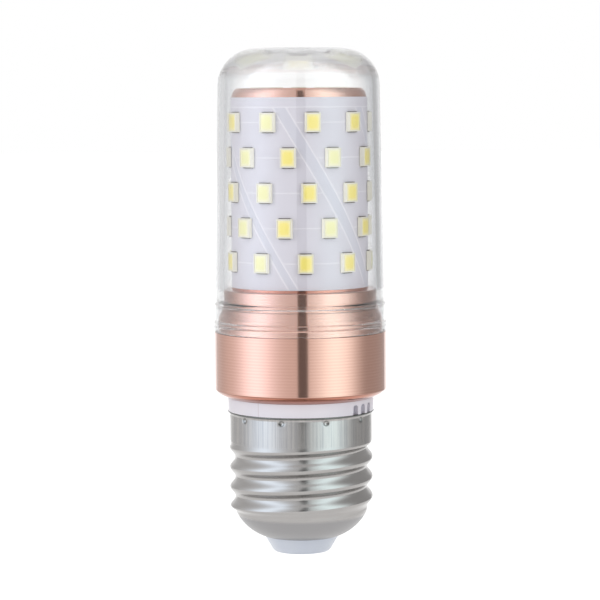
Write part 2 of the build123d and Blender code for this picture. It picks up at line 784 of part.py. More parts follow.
def side_board_wires():
    """Two wires from the driver out through the port in the core."""
    spread = 0.6
    solder = 1.6
    y = PCB_BACK + WIRE_R
    end_y = BOARD_R - CROWN_INSET
    wires = []
    for side in (-1, 1):
        x = spread * side
        points = [(x, y, PCB_TOP - solder), (x, y, PORT_Z), (x, end_y, PORT_Z)]
        wires.append(wire(points, WIRE_BEND).solid())
    return Compound(wires)


def live_wire():
    """Wire from the centre contact to the foot of the board."""
    x = -4.0
    y = PCB_FACE - WIRE_R
    foot = CONTACT_PIN_TOP + WIRE_R + FIT_GAP
    head = PCB_BOTTOM + 3.5
    return wire([(CONTACT_PIN_R, 0, foot), (x, y, foot), (x, y, head)], TIGHT_BEND)


def neutral_wire():
    """Bare wire from the board, folded over the foot of the base to the shell."""
    x = 5.0
    y = PCB_BACK + WIRE_R
    low = STUB_BOTTOM - WIRE_R - 2 * FIT_GAP
    reach = 9.6
    head = PCB_BOTTOM + 3.5
    return wire([(x, y, head), (x, y, low), (x, reach, low)], TIGHT_BEND)


sides = side_places()
tops = top_places()
frame = led_frame()
gel = led_gel()

PIECES = {
    "screw_shell": screw_shell(),
    "cap_insulator": cap_insulator(),
    "centre_contact": centre_contact(),
    "plastic_base": plastic_base(),
    "heat_sink": heat_sink(),
    "side_board": side_board(),
    "side_led_frames": copies(frame, sides),
    "side_warm_phosphor": copies(gel, sides, "W"),
    "side_cool_phosphor": copies(gel, sides, "C"),
    "top_board": top_board(),
    "top_led_frames": copies(frame, tops),
    "top_warm_phosphor": copies(gel, tops, "W"),
    "top_cool_phosphor": copies(gel, tops, "C"),
    "clear_cover": clear_cover(),
    "driver_board": driver_board(),
    "electrolytic_capacitor": electrolytic_capacitor(),
    "film_capacitor": film_capacitor(),
    "inductor": inductor(),
    "inductor_winding": inductor_winding(),
    "bridge_rectifier": bridge_rectifier(),
    "control_chip": switching_chip(-1),
    "driver_chip": switching_chip(1),
    "fusible_resistor": fusible_resistor(),
    "chip_resistors": chip_resistors(),
    "chip_capacitors": chip_capacitors(),
    "top_board_wires": top_board_wires(),
    "side_board_wires": side_board_wires(),
    "live_wire": live_wire(),
    "neutral_wire": neutral_wire(),
}

os.makedirs("parts", exist_ok=True)
for name, piece in PIECES.items():
    export_step(piece, f"parts/{name}.step")
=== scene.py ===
"""Looks of the LED light bulb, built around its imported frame.

Metres, +Z up through the cover, the origin at the lowest point of the centre contact.
An angle round the bulb is counted from the front (-Y) towards the right (+X).
"""

import logging
import math
from dataclasses import dataclass
from enum import Enum
from typing import Any, Callable, Iterable, Optional, Sequence, Union

import bmesh
import bpy
from mathutils import Matrix, Vector


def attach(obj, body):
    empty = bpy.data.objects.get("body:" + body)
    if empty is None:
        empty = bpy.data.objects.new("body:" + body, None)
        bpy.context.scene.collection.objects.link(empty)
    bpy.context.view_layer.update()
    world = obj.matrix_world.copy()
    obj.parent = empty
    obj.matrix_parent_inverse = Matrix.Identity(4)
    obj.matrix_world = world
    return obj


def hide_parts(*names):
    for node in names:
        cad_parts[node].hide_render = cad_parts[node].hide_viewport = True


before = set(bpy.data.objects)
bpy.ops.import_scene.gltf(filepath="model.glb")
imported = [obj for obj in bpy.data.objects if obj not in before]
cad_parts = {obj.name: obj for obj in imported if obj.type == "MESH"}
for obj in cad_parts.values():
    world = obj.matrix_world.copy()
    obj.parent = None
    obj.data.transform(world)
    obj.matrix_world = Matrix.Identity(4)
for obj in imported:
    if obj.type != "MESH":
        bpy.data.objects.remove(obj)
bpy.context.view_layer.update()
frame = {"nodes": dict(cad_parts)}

log = logging.getLogger("led_bulb")

MM = 0.001
BODY = "root"
Number = Union[float, int]
Operand = Union["Value", Number]
Colour = tuple[float, float, float]
Corner = tuple[float, float, float]


def srgb(red: int, green: int, blue: int) -> Colour:
    """Turn a screen colour, 0 to 255 a channel, into the linear one that shaders take."""
    def linear(value: int) -> float:
        """Linear value of one channel."""
        share = value / 255
        return share / 12.92 if share <= 0.04045 else ((share + 0.055) / 1.055) ** 2.4

    return linear(red), linear(green), linear(blue)


class Slot(Enum):
    """Material slots of the record, passed along with new pieces."""

    CAP = "nickel_cap"
    CONTACT = "contact_metal"
    BASE = "base_white"
    BODY = "rose_gold_aluminium"
    PACKAGE = "led_package"
    WARM = "warm_phosphor"
    COOL = "cool_phosphor"
    COVER = "clear_polycarbonate"


class Light(Enum):
    """The two whites of the LEDs, by the letter that the ring patterns use."""

    WARM = "W"
    COOL = "C"


Places = list[tuple[Matrix, Light]]


def operator(operation: str, turned: bool = False) -> Callable[["Value", Operand], "Value"]:
    """Make the method of an operator, which adds a Math node.

    Args:
        operation: The node's operation.
        turned: Whether the other operand comes first.

    Returns:
        The method.
    """
    def method(value: "Value", other: Operand) -> "Value":
        """Result of the operation."""
        pair = (other, value) if turned else (value, other)
        return value.graph.maths(operation, *pair)

    return method


class Value:
    """A number socket that grows Math nodes when it is used in an expression."""

    def __init__(self, graph: "Graph", socket: bpy.types.NodeSocket) -> None:
        """Hold an output socket and the graph that new nodes go to."""
        self.graph = graph
        self.socket = socket

    __add__ = __radd__ = operator("ADD")
    __mul__ = __rmul__ = operator("MULTIPLY")
    __sub__ = operator("SUBTRACT")
    __rsub__ = operator("SUBTRACT", turned=True)
    __truediv__ = operator("DIVIDE")
    __lt__ = operator("LESS_THAN")
    __gt__ = operator("GREATER_THAN")

    def absolute(self) -> "Value":
        """Size without its sign."""
        return self.graph.maths("ABSOLUTE", self)

    def sine(self) -> "Value":
        """Sine of this angle in radians."""
        return self.graph.maths("SINE", self)

    def root(self) -> "Value":
        """Square root."""
        return self.graph.maths("SQRT", self)

    def at_least(self, other: Operand) -> "Value":
        """The larger of the two."""
        return self.graph.maths("MAXIMUM", self, other)

    def wrapped(self, period: float) -> "Value":
        """Signed distance from the nearest whole multiple of a period."""
        return self.graph.maths("WRAP", self, period / 2, -period / 2)

    def smooth(self, start: float, end: float) -> "Value":
        """Smooth step from zero at the start to one at the end."""
        node = self.graph.node(
            "ShaderNodeMapRange",
            {"interpolation_type": "SMOOTHSTEP"},
            {"Value": self, "From Min": start, "From Max": end},
        )
        return Value(self.graph, node.outputs["Result"])

    def bell(self, centre: float, width: float) -> "Value":
        """Bell curve, one at its centre and 0.61 a width away."""
        away = (self - centre) / width
        return self.graph.maths("EXPONENT", away * away * -0.5)


class Graph:
    """A node tree, filled by short calls."""

    def __init__(self, tree: bpy.types.NodeTree) -> None:
        """Start with the emptied tree of a material or a world."""
        self.tree = tree
        self.tree.nodes.clear()

    def node(
        self,
        kind: str,
        settings: Optional[dict[str, Any]] = None,
        inputs: Optional[dict[Union[str, int], Any]] = None,
    ) -> bpy.types.Node:
        """Add a node, with its settings first and then its sockets.

        Args:
            kind: The node's type.
            settings: Attributes of the node.
            inputs: Values, sockets or Value objects by socket name or number.

        Returns:
            The new node.
        """
        made = self.tree.nodes.new(kind)
        for key, setting in (settings or {}).items():
            setattr(made, key, setting)
        for key, given in (inputs or {}).items():
            self.feed(made.inputs[key], given)
        return made

    def feed(self, socket: bpy.types.NodeSocket, given: Any) -> None:
        """Link or set one input, from a Value, a socket, a number or a colour."""
        if isinstance(given, Value):
            given = given.socket
        if isinstance(given, bpy.types.NodeSocket):
            self.tree.links.new(given, socket)
        elif isinstance(given, tuple) and len(given) == 3 and socket.type == "RGBA":
            socket.default_value = (*given, 1.0)
        else:
            socket.default_value = given

    def maths(self, operation: str, *values: Operand) -> Value:
        """Add a Math node and give its result."""
        made = self.node("ShaderNodeMath", {"operation": operation}, dict(enumerate(values)))
        return Value(self, made.outputs[0])

    def mix(
        self, factor: Operand, first: Any, second: Any, blend: str = "MIX"
    ) -> bpy.types.NodeSocket:
        """Mix two colours; the factor is the share of the second one."""
        settings = {"data_type": "RGBA", "blend_type": blend}
        made = self.node("ShaderNodeMix", settings, {0: factor, 6: first, 7: second})
        return made.outputs[2]

    def place(self) -> tuple[Value, Value, Value]:
        """Object coordinates as three numbers, in metres."""
        coordinates = self.node("ShaderNodeTexCoord")
        split = self.node("ShaderNodeSeparateXYZ", None, {0: coordinates.outputs["Object"]})
        return tuple(Value(self, split.outputs[axis]) for axis in "XYZ")

    def angle(self) -> Value:
        """Angle round the bulb in degrees, from the front towards the right."""
        x, y, _ = self.place()
        return self.maths("DEGREES", self.maths("ARCTAN2", x, 0.0 - y))

    def texture(self, vector: bpy.types.NodeSocket, detail: float, roughness: float) -> Value:
        """Noise from 0 to 1 over a vector."""
        made = self.node(
            "ShaderNodeTexNoise",
            None,
            {"Vector": vector, "Scale": 1.0, "Detail": detail, "Roughness": roughness},
        )
        return Value(self, made.outputs["Fac"])

    def noise(self, scale: Sequence[float], detail: float = 3.0) -> Value:
        """Noise on Object coordinates, stretched by its scales.

        Args:
            scale: Waves per metre along X, Y and Z.
            detail: Octaves.

        Returns:
            The noise, from 0 to 1.
        """
        coordinates = self.node("ShaderNodeTexCoord")
        mapping = self.node(
            "ShaderNodeMapping",
            None,
            {"Vector": coordinates.outputs["Object"], "Scale": tuple(scale)},
        )
        return self.texture(mapping.outputs[0], detail, 0.5)

    def around_noise(
        self, radius: float, across: float, along: float, detail: float = 2.0
    ) -> Value:
        """Noise on the unrolled round surface.

        Args:
            radius: Radius of the surface, in metres.
            across: Waves per metre round the bulb.
            along: Waves per metre along the axis.
            detail: Octaves.

        Returns:
            The noise, from 0 to 1.
        """
        x, y, z = self.place()
        distance = self.maths("SQRT", x * x + y * y)
        vector = self.node(
            "ShaderNodeCombineXYZ",
            None,
            {
                "X": x / distance * (radius * across),
                "Y": y / distance * (radius * across),
                "Z": z * along,
            },
        )
        return self.texture(vector.outputs[0], detail, 0.6)


class Finish(Graph):
    """A material with a Principled shader on its output."""

    def __init__(self, name: str) -> None:
        """Start the material of a name."""
        self.material = bpy.data.materials.new(name)
        self.material.use_nodes = True
        super().__init__(self.material.node_tree)
        self.shader = self.node("ShaderNodeBsdfPrincipled")
        self.output = self.node("ShaderNodeOutputMaterial")
        self.feed(self.output.inputs["Surface"], self.shader.outputs["BSDF"])

    def blend(
        self, factor: Value, first: bpy.types.NodeSocket, second: bpy.types.NodeSocket
    ) -> None:
        """Put two shaders on the output; the factor is the share of the second one."""
        made = self.node("ShaderNodeMixShader", None, {0: factor, 1: first, 2: second})
        self.feed(self.output.inputs["Surface"], made.outputs[0])

    def bump(self, height: Value, distance: float, strength: float = 1.0) -> None:
        """Bump the surface by a height from 0 to 1 that measures a distance in metres."""
        made = self.node(
            "ShaderNodeBump", None, {"Height": height, "Distance": distance, "Strength": strength}
        )
        self.tree.links.new(made.outputs[0], self.shader.inputs["Normal"])

    def set(self, **sockets: Any) -> None:
        """Set sockets of the Principled shader by name, with _ for a space."""
        for key, given in sockets.items():
            self.feed(self.shader.inputs[key.replace("_", " ")], given)


# Finishes


class Look:
    """A named finish, whose paint method fills in a new material."""

    name: str

    def paint(self, graph: Finish) -> None:
        """Fill in the material's nodes."""
        raise NotImplementedError

    def build(self) -> bpy.types.Material:
        """Make the material."""
        graph = Finish(self.name)
        self.paint(graph)
        return graph.material


@dataclass(frozen=True)
class TurnedRoseGold(Look):
    """Rose-gold anodised aluminium with the fine rings that turning leaves."""

    name: str = "turned_rose_gold"
    colour: Colour = srgb(204, 163, 148)
    shade: Colour = srgb(191, 148, 133)
    # deep is painted shade, for the foot that faces down and the slit between the neck and the
    # board
    deep: Colour = srgb(170, 104, 82)
    # line is painted shade, a thin dark line round the foot's upper corner
    line: Colour = srgb(112, 70, 54)
    ring_pitch: float = 0.55 * MM
    ring_depth: float = 0.0005 * MM
    radius: float = 15.6 * MM
    roughness: float = 0.12
    foot_edge: float = 30.4 * MM
    seat: float = 49.28 * MM
    neck_top: float = 48.87 * MM

    def paint(self, graph: Finish) -> None:
        """Rings and a cloudy tone, with painted shade on the downward foot, in the slit under the
        board and along the foot's upper corner.
        """
        _, _, z = graph.place()
        ring = (z * (2 * math.pi / self.ring_pitch)).sine() * 0.5 + 0.5
        fine = graph.around_noise(self.radius, 12.0, 9000.0)
        cloud = graph.around_noise(self.radius, 120.0, 60.0)
        tone = ring * 0.35 + fine * 0.45 + cloud * 0.2
        # Painted shade: the foot below its edge and the slit between the neck and the board darken
        # towards the deep colour
        foot = 1.0 - z.smooth(self.foot_edge - 0.1 * MM, self.foot_edge)
        gap_shade = z.smooth(self.neck_top - 0.01 * MM, self.neck_top) * (z < self.seat)
        # Painted shade: a thin dark line along the foot's upper corner
        edge = 1.0 - (z - self.foot_edge).absolute().smooth(0.03 * MM, 0.09 * MM)
        turned = graph.mix(tone, self.shade, self.colour)
        shaded_tone = graph.mix(foot.at_least(gap_shade) * 0.85, turned, self.deep)
        graph.set(
            Base_Color=graph.mix(edge * 0.8, shaded_tone, self.line),
            Metallic=1.0,
            Roughness=fine * 0.08 + (self.roughness - 0.04),
            Coat_Weight=0.06,
            Coat_Roughness=0.2,
        )
        graph.bump(ring * 0.6 + fine * 0.4, self.ring_depth)


@dataclass(frozen=True)
class BrushedNickel(Look):
    """Nickel-plated rolled shell: streaks up the collar and a soft grain in the thread."""

    name: str = "brushed_nickel"
    colour: Colour = srgb(178, 174, 170)
    shade: Colour = srgb(140, 139, 140)
    streaks_per_metre: float = 3000.0
    # lip is painted shade: the shadow line under the base's rim and the rings round the crimps'
    # dents
    lip: Colour = srgb(84, 86, 84)
    roughness: float = 0.2
    bowl_top: float = 7.8 * MM
    collar_foot: float = 21.0 * MM
    lip_foot: float = 26.2 * MM
    crimp_height: float = 25.45 * MM
    crimp_angle: float = 20.4
    crimp_pitch: float = 36.0
    crimp_reach: float = 0.42 * MM
    radius: float = 13.0 * MM

    def paint(self, graph: Finish) -> None:
        """Streaks on the collar, painted shade on the bowl, a painted shadow line under the lip
        and painted shade rings round the crimps.
        """
        streak = graph.around_noise(self.radius, self.streaks_per_metre, 45.0, 3.0)
        broad = graph.around_noise(self.radius, 900.0, 25.0, 2.0)
        smear = graph.noise((260.0, 260.0, 420.0), 4.0)
        _, _, z = graph.place()
        collar = z.smooth(self.collar_foot - 0.6 * MM, self.collar_foot + 0.4 * MM)
        streaky = streak.smooth(0.3, 0.7) * 0.5 + broad.smooth(0.25, 0.75) * 0.5
        tone = streaky * (collar * 0.8) + (1.0 - collar) * 0.4 + smear * 0.2
        # Painted shade: the bowl, which faces down, darkens towards the shade colour
        bowl = 1.0 - z.smooth(self.bowl_top - 0.8 * MM, self.bowl_top)
        plated = graph.mix(tone * (1.0 - bowl * 0.8), self.shade, self.colour)
        # Painted shadow along the top of the collar under the lip, and painted shade rings round
        # each crimp
        lip = z.smooth(self.lip_foot - 0.05 * MM, self.lip_foot)
        degrees = (graph.angle() - self.crimp_angle).wrapped(self.crimp_pitch)
        around = degrees * math.radians(self.radius)
        above = z - self.crimp_height
        away = (around * around + above * above).root()
        lip = lip.at_least(away.bell(self.crimp_reach, 0.09 * MM) * 0.9)
        graph.set(
            Base_Color=graph.mix(lip * 0.85, plated, self.lip),
            Metallic=1.0,
            Roughness=smear * 0.08 + (self.roughness - 0.04) + collar * 0.05 + bowl * 0.16,
        )
        graph.bump(streak * collar + smear * 0.3, 0.0015 * MM, 0.6)


@dataclass(frozen=True)
class SolderMask(Look):
    """White solder mask over copper, whose slanted strips and tracks show through."""

    name: str = "solder_mask_board"
    colour: Colour = srgb(216, 213, 223)
    strip: Colour = srgb(209, 209, 221)
    track: Colour = srgb(230, 228, 236)
    row_first: float = 79.15 * MM
    row_pitch: float = 6.27 * MM
    slant: float = 2700.0
    strips: tuple[tuple[float, float], ...] = (
        (24.0, 11.0),
        (-51.4, 8.0),
        (97.0, 10.0),
        (168.0, 11.0),
        (-122.0, 9.0),
    )
    middle: float = 65.0 * MM
    top_line: float = 81.85 * MM
    track_half: float = 0.1 * MM
    radius: float = 12.45 * MM

    def paint(self, graph: Finish) -> None:
        """Rows of tracks, slanted strips and a line near the top."""
        _, _, z = graph.place()
        degrees = graph.angle()
        half_degrees = math.degrees(self.track_half / self.radius)
        slanted = degrees + (z - self.middle) * self.slant
        strip, edges = self.slanted_strips(slanted, half_degrees)
        below_top = z < self.top_line
        row = (z - self.row_first).wrapped(self.row_pitch).absolute()
        top = (z - self.top_line).absolute()
        start, end = self.track_half * 0.7, self.track_half * 1.6
        lines = (1.0 - row.smooth(start, end)) * (1.0 - strip)
        lines = lines.at_least(1.0 - top.smooth(start, end))
        mask = (lines * 0.8).at_least(edges * below_top)
        grain = graph.noise((900.0, 900.0, 900.0), 3.0)
        plain = graph.mix(strip * below_top * 0.8, self.colour, self.strip)
        toned = graph.mix(grain * 0.3, plain, self.strip)
        graph.set(
            Base_Color=graph.mix(mask, toned, self.track),
            Roughness=grain * 0.12 + 0.38,
        )
        graph.bump(mask + strip * 0.3 + grain * 0.15, 0.012 * MM)

    def slanted_strips(self, slanted: Value, half: float) -> tuple[Value, Value]:
        """Strips of copper that climb round the board, and their edges.

        Args:
            slanted: Angle in degrees, carried along the slant to the board's middle.
            half: Half the width of an edge line, in degrees.

        Returns:
            One inside a strip, and one on an edge.
        """
        strips, lines = [], []
        for start, width in self.strips:
            left = (slanted - start).wrapped(360.0)
            right = (slanted - (start + width)).wrapped(360.0)
            strips.append((left > 0.0) * (left < width))
            lines += [1.0 - side.absolute().smooth(half, half * 2.2) for side in (left, right)]
        inside, edge = strips[0], lines[0]
        for other in strips[1:]:
            inside = inside.at_least(other)
        for other in lines[1:]:
            edge = edge.at_least(other)
        return inside, edge


@dataclass(frozen=True)
class MouldedPlastic(Look):
    """Opaque moulded plastic with a faint orange-peel skin."""

    name: str
    colour: Colour
    shade: Colour
    roughness: float = 0.35
    grain: float = 700.0
    seam_angle: Optional[float] = None
    seam: Colour = srgb(196, 186, 190)

    def paint(self, graph: Finish) -> None:
        """Cloudy tone, skin, and the seam where there is one."""
        skin = graph.noise((self.grain,) * 3, 3.0)
        cloud = graph.noise((90.0,) * 3, 2.0)
        colour = graph.mix(cloud.smooth(0.35, 0.65), self.colour, self.shade)
        height = skin
        if self.seam_angle is not None:
            away = (graph.angle() - self.seam_angle).absolute()
            line = 1.0 - away.smooth(0.15, 0.45)
            colour = graph.mix(line * 0.55, colour, self.seam)
            height = skin * 0.3 - line
        graph.set(Base_Color=colour, Roughness=skin * 0.1 + (self.roughness - 0.05))
        graph.bump(height, 0.02 * MM, 0.6)


@dataclass(frozen=True)
class PhosphorGel(Look):
    """Phosphor gel: deepest in its middle, creamy where it thins at the cup's wall."""

    name: str
    middle: Colour
    edge: Colour

    def paint(self, graph: Finish) -> None:
        """Deep middle, creamy edge and a fine speckle."""
        layer = graph.node("ShaderNodeUVMap", {"uv_map": "window"})
        split = graph.node("ShaderNodeSeparateXYZ", None, {0: layer.outputs[0]})
        across = (Value(graph, split.outputs["X"]) - 0.5) * 2.0
        along = (Value(graph, split.outputs["Y"]) - 0.5) * 2.0
        out = (across * across * across * across + along * along * along * along).root()
        speckle = graph.noise((5000.0,) * 3, 2.0)
        fade = (out + speckle * 0.3 - 0.15).smooth(0.25, 1.1)
        graph.set(
            Base_Color=graph.mix(fade, self.middle, self.edge),
            Roughness=speckle * 0.2 + 0.2,
            Coat_Weight=0.4,
            Coat_Roughness=0.08,
        )
        graph.bump(speckle, 0.01 * MM)


@dataclass(frozen=True)
class ClearPolycarbonate(Look):
    """Clear moulded cover, slightly wavy, that lets light through to what it holds.

    Part of the light goes straight through its top and the sides of its foot, which trap
    light and would turn black.
    """

    name: str = "clear_cover_plastic"
    clear: Colour = srgb(254, 254, 254)
    # edge is painted shade, the grey that stands in for the darker surround the walls reflect at
    # grazing angles
    edge: Colour = srgb(188, 190, 194)
    index: float = 1.49
    straight: float = 0.5
    foot_top: float = 49.4 * MM
    foot_fade: float = 1.0 * MM
    top_round: float = 86.5 * MM
    top_fade: float = 3.0 * MM

    def paint(self, graph: Finish) -> None:
        """Glassy where it is faced, with painted shade greying it where it is seen along."""
        wave = graph.noise((160.0, 160.0, 60.0), 1.0)
        fine = graph.noise((1200.0,) * 3, 2.0)
        # Painted shade: the colour greys towards edge where the cover is seen along
        weight = graph.node("ShaderNodeLayerWeight", None, {"Blend": 0.5})
        facing = Value(graph, weight.outputs["Facing"])
        grazing_shade = facing.smooth(0.2, 0.8)
        _, _, height = graph.place()
        upper = height.smooth(self.top_round, self.top_round + self.top_fade)
        above = height.smooth(self.foot_top - self.foot_fade, self.foot_top)
        lower = (1.0 - above) * facing.smooth(0.25, 0.65)
        graph.set(
            Base_Color=graph.mix(grazing_shade * (wave * 0.3 + 0.85), self.clear, self.edge),
            Roughness=fine * 0.03,
            IOR=self.index,
            Transmission_Weight=1.0,
        )
        graph.bump(wave * 0.8 + fine * 0.2, 0.02 * MM, 0.4)
        clear = graph.node("ShaderNodeBsdfTransparent")
        path = graph.node("ShaderNodeLightPath")
        shadow = Value(graph, path.outputs["Is Shadow Ray"])
        lit = shadow.at_least(Value(graph, path.outputs["Is Diffuse Ray"]))
        straight = lit.at_least(upper.at_least(lower) * self.straight)
        graph.blend(straight, graph.shader.outputs["BSDF"], clear.outputs[0])


@dataclass(frozen=True)
class PlainMetal(Look):
    """Small plated metal pieces with a fine grain."""

    name: str
    colour: Colour
    shade: Colour
    roughness: float = 0.3

    def paint(self, graph: Finish) -> None:
        """Metal with a fine grain."""
        grain = graph.noise((2500.0,) * 3, 3.0)
        graph.set(
            Base_Color=graph.mix(grain, self.shade, self.colour),
            Metallic=1.0,
            Roughness=grain * 0.2 + (self.roughness - 0.1),
        )
        graph.bump(grain, 0.004 * MM)


# Mesh helpers


def put(name: str, data: Any) -> bpy.types.Object:
    """Make an object of a mesh, a camera or a lamp and put it in the scene."""
    made = bpy.data.objects.new(name, data)
    bpy.context.scene.collection.objects.link(made)
    return made


class Shape:
    """A bmesh under construction, with the few moves that the pieces need."""

    round_steps = 8

    def __init__(self) -> None:
        """Start empty."""
        self.mesh = bmesh.new()

    def soften(
        self, geometry: Iterable, reach: float, segments: int, kind: str = "EDGES"
    ) -> None:
        """Bevel edges, or the corners of an outline, by a reach in millimetres."""
        bmesh.ops.bevel(
            self.mesh,
            geom=list(geometry),
            affect=kind,
            offset=reach * MM,
            segments=segments,
            profile=0.5,
            material=-1,
        )

    def box(self, place: Matrix, size: Sequence[float], centre: Sequence[float]) -> list:
        """Add a box, in millimetres in the frame of a place, and give its vertices."""
        scale = Matrix.Diagonal((*[edge * MM for edge in size], 1.0))
        move = Matrix.Translation([part * MM for part in centre])
        return bmesh.ops.create_cube(self.mesh, size=1.0, matrix=place @ move @ scale)["verts"]

    @staticmethod
    def edges_of(verts: Iterable) -> list:
        """Each edge that some vertices share, once and in order."""
        return list(dict.fromkeys(edge for vert in verts for edge in vert.link_edges))

    @staticmethod
    def faces_of(verts: Iterable) -> list:
        """Each face that some vertices share, once and in order."""
        return list(dict.fromkeys(face for vert in verts for face in vert.link_faces))

    def recalculate(self) -> None:
        """Point the faces' normals outwards."""
        bmesh.ops.recalc_face_normals(self.mesh, faces=self.mesh.faces)

    def outline(self, corners: Sequence[Corner], closed: bool = True) -> list:
        """Draw an outline in radius and height, with its corners rounded.

        Args:
            corners: Radius, height and run-out of the round of each corner, in millimetres.
            closed: Whether the last corner joins the first.

        Returns:
            The outline's edges.
        """
        verts = [self.mesh.verts.new((r * MM, 0.0, z * MM)) for r, z, _ in corners]
        pairs = list(zip(verts, verts[1:]))
        if closed:
            pairs.append((verts[-1], verts[0]))
        for pair in pairs:
            self.mesh.edges.new(pair)
        for vert, (_, _, reach) in zip(verts, corners):
            if reach > 0:
                self.soften([vert], reach, self.round_steps, "VERTICES")
        return list(self.mesh.edges)

    def arc(
        self,
        start: tuple[float, float],
        middle: tuple[float, float],
        end: tuple[float, float],
        steps: int = 16,
    ) -> None:
        """Draw an arc in radius and height through three points.

        Args:
            start: Where it starts, in millimetres.
            middle: A point on the way.
            end: Where it ends.
            steps: Edges of the arc.
        """
        first, second, third = (Vector((r * MM, 0.0, z * MM)) for r, z in (start, middle, end))
        chord, other = second - first, third - first
        normal = chord.cross(other)
        sideways = other.length_squared * normal.cross(chord) * -1
        sideways += chord.length_squared * normal.cross(other)
        centre = first + sideways * (-1 / (2 * normal.length_squared))
        turn = (first - centre).angle(third - centre)
        seed = self.mesh.verts.new(first)
        bmesh.ops.spin(
            self.mesh,
            geom=[seed],
            cent=centre,
            axis=normal.normalized(),
            angle=turn,
            steps=steps,
            use_merge=False,
        )

    def face_outwards(self) -> None:
        """Turn the faces of an open shell of revolution away from the axis."""
        self.recalculate()
        outward = sum(face.normal.xy.dot(face.calc_center_median().xy) for face in self.mesh.faces)
        if outward < 0:
            bmesh.ops.reverse_faces(self.mesh, faces=self.mesh.faces)

    def spin(self, edges: Iterable, steps: int) -> None:
        """Turn the outline's edges once round the axis, in so many steps."""
        geometry = list(edges) + list(dict.fromkeys(vert for edge in edges for vert in edge.verts))
        bmesh.ops.spin(
            self.mesh,
            geom=geometry,
            cent=(0, 0, 0),
            axis=(0, 0, 1),
            angle=2 * math.pi,
            steps=steps,
            use_merge=True,
        )
        bmesh.ops.remove_doubles(self.mesh, verts=self.mesh.verts, dist=1e-7)
        self.recalculate()

    def finish(self, name: str, sharp: float = 35.0) -> bpy.types.Object:
        """Make the object, smooth apart from its sharp edges.

        Args:
            name: Name of the piece.
            sharp: Angle in degrees past which an edge stays sharp.

        Returns:
            The object.
        """
        for face in self.mesh.faces:
            face.smooth = True
        for edge in self.mesh.edges:
            edge.smooth = edge.calc_face_angle(0.0) < math.radians(sharp)
        data = bpy.data.meshes.new(name)
        self.mesh.to_mesh(data)
        self.mesh.free()
        return put(name, data)


def dress(
    piece: bpy.types.Object, material: bpy.types.Material, slot: Slot, *nodes: str
) -> None:
    """Give a new piece its finish and its body, and hide the nodes that it replaces.

    Args:
        piece: The piece.
        material: Its material.
        slot: The record's slot for its finish; not used.
        *nodes: Names of the nodes that it replaces.
    """
    piece.data.materials.clear()
    piece.data.materials.append(material)
    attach(piece, BODY)
    if nodes:
        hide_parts(*nodes)
    log.info("%s: %d faces", piece.name, len(piece.data.polygons))


def repaint(node: str, material: bpy.types.Material) -> None:
    """Give a carried-over node a better finish."""
    data = frame["nodes"][node].data
    data.materials.clear()
    data.materials.append(material)
    log.info("%s: new finish", node)


# Sub-assemblies


@dataclass
class CoverShell:
    """The clear moulded cover, sized as the frame's."""

    top: float = 92.5
    top_radius: float = 14.62
    foot_radius: float = 15.4
    corner: float = 6.6
    wall: float = 1.2
    foot: float = 41.0
    ridge_height: float = 46.1
    ridge_half: float = 0.35
    ridge_proud: float = 0.34
    skirt_radius: float = 15.52
    rim_height: float = 2.15
    bead_share: float = 0.38
    bead_proud: float = 0.28
    bead_end: float = 0.2
    groove_proud: float = 0.05
    socket_radius: float = 15.12
    socket_top: float = 45.9
    bore_radius: float = 14.16
    bore_foot: float = 46.75
    steps: int = 224

    def build(self) -> None:
        """Turn the cover's outline and dress it."""
        inner = self.corner - self.wall
        rim_top = self.foot + self.rim_height
        groove = rim_top - self.rim_height * self.bead_share
        bead = self.skirt_radius + self.bead_proud
        corners = [
            (0.0, self.top, 0),
            (self.top_radius, self.top, self.corner),
            (self.foot_radius, self.ridge_height + self.ridge_half, 0.2),
            (self.foot_radius + self.ridge_proud, self.ridge_height, 0.16),
            (self.skirt_radius, self.ridge_height - self.ridge_half, 0.2),
            (self.skirt_radius, rim_top, 0.08),
            (bead, rim_top - self.bead_end, 0.15),
            (bead, groove + self.bead_end, 0.15),
            (self.skirt_radius + self.groove_proud, groove, 0.08),
            (bead, groove - self.bead_end, 0.15),
            (bead, self.foot + self.bead_end, 0.15),
            (self.skirt_radius, self.foot, 0),
            (self.socket_radius, self.foot, 0),
            (self.socket_radius, self.socket_top, 0.25),
            (self.bore_radius, self.bore_foot, 0.35),
            (self.top_radius - self.wall, self.top - self.wall, inner),
            (0.0, self.top - self.wall, 0),
        ]
        shape = Shape()
        shape.spin(shape.outline(corners, closed=False), self.steps)
        piece = shape.finish("cover_moulding", 50.0)
        dress(piece, ClearPolycarbonate().build(), Slot.COVER, "clear_cover")


